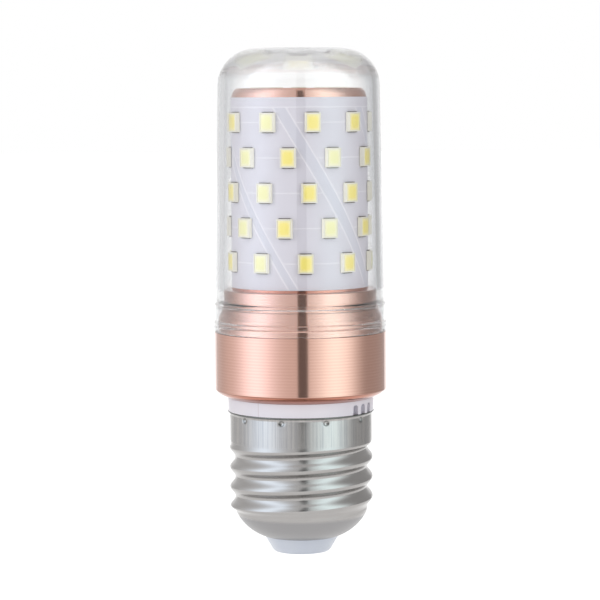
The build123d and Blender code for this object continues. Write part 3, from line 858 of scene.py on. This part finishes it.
@dataclass
class AluminiumBody:
    """The stepped turned body, with real turned grooves on its foot and neck."""

    steps: int = 192
    groove_pitch: float = 0.55
    groove_depth: float = 0.004
    groove_half: float = 0.16

    def grooved(self, radius: float, high: float, low: float) -> list[Corner]:
        """Corners of a straight wall with shallow grooves, from the top down.

        Args:
            radius: Radius of the wall, in millimetres.
            high: Height where the grooves start.
            low: Height where they end.

        Returns:
            The corners.
        """
        count = int((high - low) / self.groove_pitch)
        corners = [(radius, high, 0.0)]
        for index in range(count):
            middle = high - (index + 0.5) * self.groove_pitch
            corners += [
                (radius, middle + self.groove_half, 0.0),
                (radius - self.groove_depth, middle, 0.0),
                (radius, middle - self.groove_half, 0.0),
            ]
        return corners + [(radius, low, 0.0)]

    def build(self) -> None:
        """Turn the body's outline and dress it."""
        corners = [
            (2.2, 83.65, 0),
            (10.5, 83.65, 0.1),
            (10.5, 85.25, 0.12),
            (11.45, 85.25, 0.12),
            (12.08, 84.65, 0.45),
            (12.35, 83.6, 0),
            (11.65, 83.6, 0),
            (11.65, 49.3, 0),
            (12.45, 49.3, 0.05),
            (12.45, 48.85, 0.08),
            (14.0, 48.85, 0.3),
        ]
        corners += self.grooved(14.0, 48.3, 45.9)
        corners += [(15.0, 43.4, 0.35), (15.0, 41.0, 0.05), (15.65, 41.0, 0.1)]
        corners += self.grooved(15.65, 40.8, 30.7)
        corners += [
            (15.65, 30.42, 0.1),
            (14.9, 29.7, 0.5),
            (13.4, 29.04, 0.05),
            (13.3, 29.0, 0),
            (12.85, 29.0, 0),
            (12.85, 29.9, 0),
            (14.05, 29.9, 0),
            (14.75, 30.6, 0),
            (14.75, 40.1, 0),
            (14.1, 40.1, 0),
            (14.1, 43.55, 0),
            (13.1, 45.5, 0),
            (13.1, 47.95, 0),
            (10.75, 47.95, 0),
            (10.75, 82.45, 0),
            (2.2, 82.45, 0),
        ]
        shape = Shape()
        shape.spin(shape.outline(corners), self.steps)
        piece = shape.finish("turned_body", 30.0)
        dress(piece, TurnedRoseGold().build(), Slot.BODY, "heat_sink")


@dataclass
class ScrewShell:
    """The rolled cap: flared lip, crimped collar, round thread and rounded foot."""

    pitch: float = 3.629
    crest_radius: float = 13.12
    root_radius: float = 12.12
    crest_height: float = 17.9
    collar_radius: float = 12.98
    collar_foot: float = 21.0
    collar_top: float = 26.4
    thread_foot: float = 7.8
    bowl_radius: float = 12.0
    bowl_middle: tuple[float, float] = (10.0, 5.15)
    bowl_foot: float = 3.4
    foot_hole: float = 7.06
    runout: float = 1.3
    wall: float = 0.28
    flare: float = 0.42
    flare_height: float = 0.5
    flare_curve: float = 1.6
    crimps: int = 10
    crimp_angle: float = 20.4
    crimp_drop: float = 0.95
    crimp_reach: float = 0.5
    crimp_depth: float = 0.3
    steps: int = 240
    ring_step: float = 0.16

    def ring(self, height: float) -> Corner:
        """Centre X and Y and radius of the shell's round section at a height, in millimetres."""
        if height >= self.collar_foot:
            lift = max(0.0, (height - self.collar_top + self.flare_height) / self.flare_height)
            return 0.0, 0.0, self.collar_radius + self.flare * lift ** self.flare_curve
        fade_in = (height - self.thread_foot) / self.runout
        fade_out = (self.collar_foot - height) / self.runout
        fade = max(0.0, min(1.0, fade_in, fade_out))
        fade = fade * fade * (3 - 2 * fade)
        end = self.bowl_radius if fade_in < fade_out else self.collar_radius
        mean = (self.crest_radius + self.root_radius) / 2
        throw = (self.crest_radius - self.root_radius) / 2 * fade
        turn = 2 * math.pi * (height - self.crest_height) / self.pitch
        return throw * math.cos(turn), throw * math.sin(turn), end + (mean - end) * fade

    def heights(self) -> list[float]:
        """Heights of the rings from the thread's foot up to the lip."""
        count = round((self.collar_top - self.thread_foot) / self.ring_step)
        step = (self.collar_top - self.thread_foot) / count
        return [self.thread_foot + step * (index + 1) for index in range(count)]

    def crimp(self, shape: Shape) -> None:
        """Push the collar in at each crimp."""
        height = (self.collar_top - self.crimp_drop) * MM
        reach = self.crimp_reach * MM
        depth = self.crimp_depth * MM
        for index in range(self.crimps):
            angle = math.radians(self.crimp_angle + index * 360 / self.crimps)
            middle = Vector((math.sin(angle), -math.cos(angle), 0)) * self.collar_radius * MM
            middle.z = height
            for vert in shape.mesh.verts:
                away = (vert.co - middle).length / reach
                if away < 1:
                    inward = Vector((-vert.co.x, -vert.co.y, 0)).normalized()
                    vert.co += inward * depth * (1 - away ** 4)

    def build(self) -> None:
        """Raise the shell ring by ring and dress it."""
        shape = Shape()
        bowl_top = (self.bowl_radius, self.thread_foot)
        shape.arc((self.foot_hole, self.bowl_foot), self.bowl_middle, bowl_top)
        shape.spin(list(shape.mesh.edges), self.steps)
        rim_height = self.thread_foot * MM
        rim = [
            edge
            for edge in shape.mesh.edges
            if edge.is_boundary and all(abs(vert.co.z - rim_height) < 1e-6 for vert in edge.verts)
        ]
        last_x, last_y, last_radius = self.ring(self.thread_foot)
        last_height = self.thread_foot
        for height in self.heights():
            x, y, radius = self.ring(height)
            grown = bmesh.ops.extrude_edge_only(shape.mesh, edges=rim)["geom"]
            verts = [item for item in grown if isinstance(item, bmesh.types.BMVert)]
            rim = [item for item in grown if isinstance(item, bmesh.types.BMEdge)]
            centre = Matrix.Translation((-last_x * MM, -last_y * MM, 0))
            scale = (radius / last_radius, radius / last_radius, 1.0)
            bmesh.ops.scale(shape.mesh, vec=scale, space=centre, verts=verts)
            shift = ((x - last_x) * MM, (y - last_y) * MM, (height - last_height) * MM)
            bmesh.ops.translate(shape.mesh, vec=shift, verts=verts)
            last_x, last_y, last_radius, last_height = x, y, radius, height
        shape.face_outwards()
        self.crimp(shape)
        piece = shape.finish("rolled_shell", 60.0)
        wall = piece.modifiers.new("wall", "SOLIDIFY")
        wall.thickness = self.wall * MM
        wall.offset = -1.0
        dress(piece, BrushedNickel().build(), Slot.CAP, "screw_shell")


@dataclass
class LedRing:
    """LED packages with their cups, gel and terminals, on the side and on top."""

    board_radius: float = 12.47
    width: float = 2.8
    length: float = 3.5
    height: float = 0.75
    frame: float = 0.24
    cup: float = 0.12
    draft: float = 0.965
    edge_round: float = 0.06
    gel_fill: float = 0.7
    dome: float = 0.035
    dome_inset: float = 0.25
    terminal_inset: float = 0.7
    terminal_depth: float = 0.14
    terminal_height: float = 0.34
    terminal_proud: float = 0.06
    rows: int = 5
    row_first: float = 79.15
    row_pitch: float = 6.27
    start_angle: float = 10.8
    lean: float = 1.55
    odd_row: str = "WWCWCWCCWC"
    even_row: str = "WCWCWCWCWC"
    top_ring: str = "WCWCWCWC"
    top_radius: float = 7.1
    top_height: float = 84.67

    def side_places(self) -> Places:
        """Place and white of each LED on the side board."""
        places = []
        step = 360 / len(self.odd_row)
        for row in range(self.rows):
            pattern = self.even_row if row % 2 else self.odd_row
            first = self.start_angle - self.lean * row - (step / 2 if row % 2 else 0.0)
            height = (self.row_first - self.row_pitch * row) * MM
            for index, letter in enumerate(pattern):
                turn = Matrix.Rotation(math.radians(first + index * step), 4, "Z")
                out = Matrix.Translation((0, -self.board_radius * MM, height))
                places.append((turn @ out @ Matrix.Rotation(math.pi / 2, 4, "X"), Light(letter)))
        return places

    def top_places(self) -> Places:
        """Place and white of each LED on the top board."""
        places = []
        for index, letter in enumerate(self.top_ring):
            turn = Matrix.Rotation(math.radians(index * 360 / len(self.top_ring)), 4, "Z")
            out = Matrix.Translation((0, -self.top_radius * MM, self.top_height * MM))
            places.append((turn @ out, Light(letter)))
        return places

    def top_face(self, verts: Iterable, outward: Vector) -> Any:
        """The face of a box that looks outwards."""
        return max(Shape.faces_of(verts), key=lambda face: face.normal.dot(outward))

    def packages(self, name: str, places: Places) -> bpy.types.Object:
        """White packages, one at each place, with a sunk cup."""
        shape = Shape()
        for place, _ in places:
            size = (self.width, self.length, self.height)
            verts = shape.box(place, size, (0, 0, self.height / 2))
            outward = place.to_3x3() @ Vector((0, 0, 1))
            shape.mesh.normal_update()
            face = self.top_face(verts, outward)
            rim = list(face.edges)
            bmesh.ops.scale(
                shape.mesh,
                vec=(self.draft,) * 3,
                space=Matrix.Translation(-face.calc_center_median()),
                verts=face.verts,
            )
            bmesh.ops.inset_individual(shape.mesh, faces=[face], thickness=self.frame * MM)
            deep = bmesh.ops.extrude_discrete_faces(shape.mesh, faces=[face])["faces"][0]
            bmesh.ops.translate(shape.mesh, vec=outward * -self.cup * MM, verts=deep.verts)
            shape.soften([edge for edge in rim if edge.is_valid], self.edge_round, 2)
        shape.recalculate()
        return shape.finish(name)

    def gels(self, name: str, places: Places, light: Light) -> bpy.types.Object:
        """Gel of the LEDs of one white, slightly domed, with its window layer."""
        shape = Shape()
        layer = shape.mesh.loops.layers.uv.new("window")
        wide = self.width * self.draft - 2 * self.frame
        long = self.length * self.draft - 2 * self.frame
        for place, white in places:
            if white is not light:
                continue
            size = (wide, long, self.cup * self.gel_fill)
            floor = self.height - self.cup
            verts = shape.box(place, size, (0, 0, floor + size[2] / 2))
            outward = place.to_3x3() @ Vector((0, 0, 1))
            shape.mesh.normal_update()
            face = self.top_face(verts, outward)
            back = place.inverted()
            for item in shape.faces_of(verts):
                for loop in item.loops:
                    spot = back @ loop.vert.co
                    loop[layer].uv = (spot.x / (wide * MM) + 0.5, spot.y / (long * MM) + 0.5)
            bmesh.ops.inset_individual(
                shape.mesh, faces=[face], thickness=self.dome_inset * MM, use_interpolate=True
            )
            bmesh.ops.translate(shape.mesh, vec=outward * self.dome * MM, verts=face.verts)
        shape.recalculate()
        return shape.finish(name, 60.0)

    def terminals(self, name: str, places: Places) -> bpy.types.Object:
        """Solder terminals that wrap the short ends of the packages."""
        shape = Shape()
        size = (self.width - self.terminal_inset, self.terminal_depth, self.terminal_height)
        for place, _ in places:
            for end in (-1, 1):
                centre = (0, end * (self.length / 2 + self.terminal_proud), size[2] / 2)
                shape.soften(shape.edges_of(shape.box(place, size, centre)), 0.035, 1)
        shape.recalculate()
        return shape.finish(name)

    def build(self) -> None:
        """Make and dress every LED piece."""
        white = MouldedPlastic(
            "led_white", srgb(245, 242, 228), srgb(238, 234, 216), 0.4, 3000.0
        ).build()
        warm = PhosphorGel("warm_gel", srgb(252, 236, 118), srgb(252, 242, 184)).build()
        cool = PhosphorGel("cool_gel", srgb(240, 237, 166), srgb(244, 240, 203)).build()
        metal = PlainMetal("terminal_metal", srgb(128, 116, 100), srgb(64, 56, 48), 0.35).build()
        gels = (("warm", Light.WARM, Slot.WARM, warm), ("cool", Light.COOL, Slot.COOL, cool))
        for area, places in (("side", self.side_places()), ("top", self.top_places())):
            packages = self.packages(f"{area}_packages", places)
            dress(packages, white, Slot.PACKAGE, f"{area}_led_frames")
            for word, light, slot, gel in gels:
                piece = self.gels(f"{area}_{word}_gel", places, light)
                dress(piece, gel, slot, f"{area}_{word}_phosphor")
            dress(self.terminals(f"{area}_terminals", places), metal, Slot.CONTACT)


@dataclass
class BoardAndBase:
    """Carried-over nodes: the boards, the moulded base, the insulator and the driver."""

    slot_angles: tuple[float, ...] = (47.8, 57.6, 67.4)
    slot_width: float = 1.26
    slot_foot: float = 26.42
    slot_top: float = 27.9
    slot_floor: float = 12.4
    floor_depth: float = 0.6
    floor_round: float = 0.06

    def slot_floors(self, material: bpy.types.Material) -> None:
        """Close each vent slot a little way in, as on the moulded ring."""
        shape = Shape()
        size = (self.slot_width, self.floor_depth, self.slot_top - self.slot_foot)
        centre = (0, -(self.slot_floor - size[1] / 2), self.slot_foot + size[2] / 2)
        for half_turn in (0.0, 180.0):
            for angle in self.slot_angles:
                turn = Matrix.Rotation(math.radians(angle + half_turn), 4, "Z")
                shape.soften(shape.edges_of(shape.box(turn, size, centre)), self.floor_round, 2)
        shape.recalculate()
        dress(shape.finish("slot_floors"), material, Slot.BASE)

    def build(self) -> None:
        """Give each of the nodes its finish."""
        repaint("side_board", SolderMask().build())
        mask = MouldedPlastic("top_mask", srgb(226, 224, 228), srgb(216, 214, 222), 0.4, 900.0)
        repaint("top_board", mask.build())
        plastic = MouldedPlastic(
            "base_plastic", srgb(232, 229, 236), srgb(226, 224, 233), 0.32, 600.0, seam_angle=-35.0
        ).build()
        repaint("plastic_base", plastic)
        self.slot_floors(plastic)
        glassy = MouldedPlastic(
            "insulator_plastic", srgb(216, 221, 231), srgb(208, 214, 226), 0.3, 800.0
        )
        repaint("cap_insulator", glassy.build())
        contact = PlainMetal("contact_brass", srgb(205, 190, 150), srgb(150, 138, 112))
        repaint("centre_contact", contact.build())
        self.dress_driver()

    def dress_driver(self) -> None:
        """Give the pieces of the driver their finishes."""
        plastics = {
            "driver_board": ((38, 98, 58), (30, 84, 50)),
            "electrolytic_capacitor": ((28, 32, 44), (20, 22, 30)),
            "film_capacitor": ((150, 52, 36), (130, 42, 30)),
            "inductor": ((44, 42, 42), (32, 31, 31)),
            "bridge_rectifier": ((36, 36, 38), (26, 26, 28)),
            "control_chip": ((34, 34, 36), (26, 26, 28)),
            "driver_chip": ((34, 34, 36), (26, 26, 28)),
            "fusible_resistor": ((70, 128, 130), (58, 112, 116)),
            "chip_resistors": ((38, 38, 42), (28, 28, 30)),
            "chip_capacitors": ((172, 146, 110), (154, 128, 96)),
            "top_board_wires": ((214, 208, 198), (200, 194, 184)),
            "side_board_wires": ((214, 208, 198), (200, 194, 184)),
            "live_wire": ((176, 48, 40), (156, 40, 34)),
            "neutral_wire": ((60, 66, 84), (48, 54, 70)),
        }
        for node, pair in plastics.items():
            colour, shade = (srgb(*channels) for channels in pair)
            repaint(node, MouldedPlastic(f"{node}_finish", colour, shade, 0.4, 1500.0).build())
        copper = PlainMetal("winding_copper", srgb(196, 112, 70), srgb(150, 78, 46), 0.35)
        repaint("inductor_winding", copper.build())


@dataclass
class Studio:
    """Pale floor, white surround, soft lamps and the camera of the photograph."""

    eye_height: float = 83.645 * MM
    distance: float = 450.0 * MM
    side_shift: float = -0.03 * MM
    tilt: float = 4.7013
    roll: float = 0.4
    focal: float = 148.1
    floor_drop: float = 60.0 * MM
    floor_glow: float = 0.62
    fill: float = 0.62
    ring_radius: float = 0.35
    ring_low: float = -0.4
    ring_high: float = 0.8
    ring_span: tuple[float, float] = (-152.0, 152.0)
    left_glow: Colour = (1.14, 1.38, 1.66)
    right_glow: Colour = (1.02, 1.36, 1.42)
    left_field: tuple[float, float] = (-62.0, 20.0)
    right_field: tuple[float, float] = (47.0, 19.5)
    left_dull: tuple[float, float] = (-130.0, -108.0)
    right_dull: tuple[float, float] = (66.0, 100.0)
    slot_angle: float = 2.9
    slot_edge: tuple[float, float] = (5.8, 7.4)
    slot_colour: Colour = (0.05, 0.045, 0.045)
    lamp_distance: float = 0.9
    lamp_height: float = 0.3
    lamp_length: float = 0.9
    lamp_tip: float = 0.2

    def camera(self) -> None:
        """Place the camera."""
        data = bpy.data.cameras.new("camera")
        data.lens = self.focal
        data.sensor_width = 36.0
        data.clip_start = 0.01
        data.clip_end = 50.0
        camera = put("camera", data)
        camera.location = (self.side_shift, -self.distance, self.eye_height)
        look = Matrix.Rotation(math.radians(90.0 - self.tilt), 4, "X")
        roll = Matrix.Rotation(math.radians(-self.roll), 4, "Z")
        camera.rotation_euler = (look @ roll).to_euler()
        bpy.context.scene.camera = camera

    def floor(self) -> None:
        """Lay a large pale floor that keeps the object's shadow."""
        shape = Shape()
        bmesh.ops.create_grid(shape.mesh, x_segments=8, y_segments=8, size=6.0)
        bmesh.ops.translate(shape.mesh, vec=(0, 0, -self.floor_drop), verts=shape.mesh.verts)
        floor = shape.finish("floor")
        graph = Finish("pale_floor")
        graph.set(Base_Color=(0.8, 0.8, 0.8), Roughness=0.9)
        glow = graph.node("ShaderNodeEmission", None, {"Strength": self.floor_glow})
        own = graph.shader.outputs["BSDF"]
        both = graph.node("ShaderNodeAddShader", None, {0: own, 1: glow.outputs[0]})
        graph.blend(self.plainly_seen(graph), own, both.outputs[0])
        floor.data.materials.append(graph.material)

    @staticmethod
    def plainly_seen(graph: Graph) -> Value:
        """One for what the camera sees, in metal and through glass too."""
        path = graph.node("ShaderNodeLightPath")
        seen = Value(graph, path.outputs["Is Camera Ray"])
        mirrored = Value(graph, path.outputs["Is Glossy Ray"])
        through = Value(graph, path.outputs["Is Transmission Ray"])
        return seen.at_least(mirrored).at_least(through)

    def world(self) -> None:
        """White surround for the camera, metal and glass, and a soft light for the rest."""
        world = bpy.data.worlds.new("studio")
        world.use_nodes = True
        bpy.context.scene.world = world
        graph = Graph(world.node_tree)
        plain = self.plainly_seen(graph)
        level = plain + (1.0 - plain) * self.fill
        white = {"Color": (1.0, 1.0, 1.0), "Strength": level}
        background = graph.node("ShaderNodeBackground", None, white)
        output = graph.node("ShaderNodeOutputWorld")
        graph.feed(output.inputs["Surface"], background.outputs[0])

    def light_ring(self) -> None:
        """Curved screen for metal and glass: two bright fields, a dark slot, a dim right."""
        shape = Shape()
        first, last = (math.radians(angle) for angle in self.ring_span)
        foot = Vector((math.sin(first), -math.cos(first), 0.0)) * self.ring_radius
        low = shape.mesh.verts.new((foot.x, foot.y, self.ring_low))
        high = shape.mesh.verts.new((foot.x, foot.y, self.ring_high))
        edge = shape.mesh.edges.new((low, high))
        bmesh.ops.spin(
            shape.mesh,
            geom=[low, high, edge],
            cent=(0, 0, 0),
            axis=(0, 0, 1),
            angle=last - first,
            steps=152,
            use_merge=False,
        )
        ring = shape.finish("light_ring")
        graph = Finish("light_ring_face")
        degrees = graph.angle()
        black, white = (0.0, 0.0, 0.0), (1.0, 1.0, 1.0)
        left = graph.mix(degrees.bell(*self.left_field), black, self.left_glow)
        right = graph.mix(degrees.bell(*self.right_field), black, self.right_glow)
        bright = graph.mix(1.0, graph.mix(1.0, left, right, "ADD"), white, "ADD")
        left_dull = 1.0 - degrees.smooth(*self.left_dull)
        dull = degrees.smooth(*self.right_dull) * 0.42 + left_dull * 0.14
        dim = graph.mix(dull, bright, black)
        slot = 1.0 - (degrees - self.slot_angle).absolute().smooth(*self.slot_edge)
        face = graph.mix(slot * 0.85, dim, self.slot_colour)
        glow = graph.node("ShaderNodeEmission", None, {"Color": face, "Strength": 1.0})
        graph.feed(graph.output.inputs["Surface"], glow.outputs[0])
        ring.data.materials.append(graph.material)
        ring.visible_camera = False
        ring.visible_diffuse = False
        ring.visible_shadow = False

    def softbox(
        self, name: str, angle: float, width: float, power: float, colour: Colour
    ) -> None:
        """Tall soft lamp at an angle round the bulb.

        Args:
            name: Name of the lamp.
            angle: Degrees from the front towards the right.
            width: Width of the lamp, in metres.
            power: Power in watts.
            colour: Colour of its light.
        """
        data = bpy.data.lights.new(name, "AREA")
        data.shape = "RECTANGLE"
        data.size = width
        data.size_y = self.lamp_length
        data.energy = power
        data.color = colour
        lamp = put(name, data)
        turn = math.radians(angle)
        out = self.lamp_distance
        lamp.location = (out * math.sin(turn), -out * math.cos(turn), self.lamp_height)
        lamp.rotation_euler = (math.pi / 2 - self.lamp_tip, 0.0, turn)
        lamp.visible_camera = False
        lamp.visible_glossy = False
        lamp.visible_transmission = False

    def build(self) -> None:
        """Set the whole studio up."""
        self.camera()
        self.floor()
        self.world()
        self.light_ring()
        self.softbox("left_lamp", -58.0, 0.5, 3.1, (1.0, 0.985, 0.985))
        self.softbox("right_lamp", 44.0, 0.42, 2.2, (1.0, 0.99, 0.985))
        bpy.context.scene.view_settings.view_transform = "Standard"


def main() -> None:
    """Build the studio and every sub-assembly in order."""
    logging.basicConfig(level=logging.INFO, format="%(message)s")
    Studio().build()
    CoverShell().build()
    AluminiumBody().build()
    ScrewShell().build()
    LedRing().build()
    BoardAndBase().build()


if __name__ == "__main__":
    main()
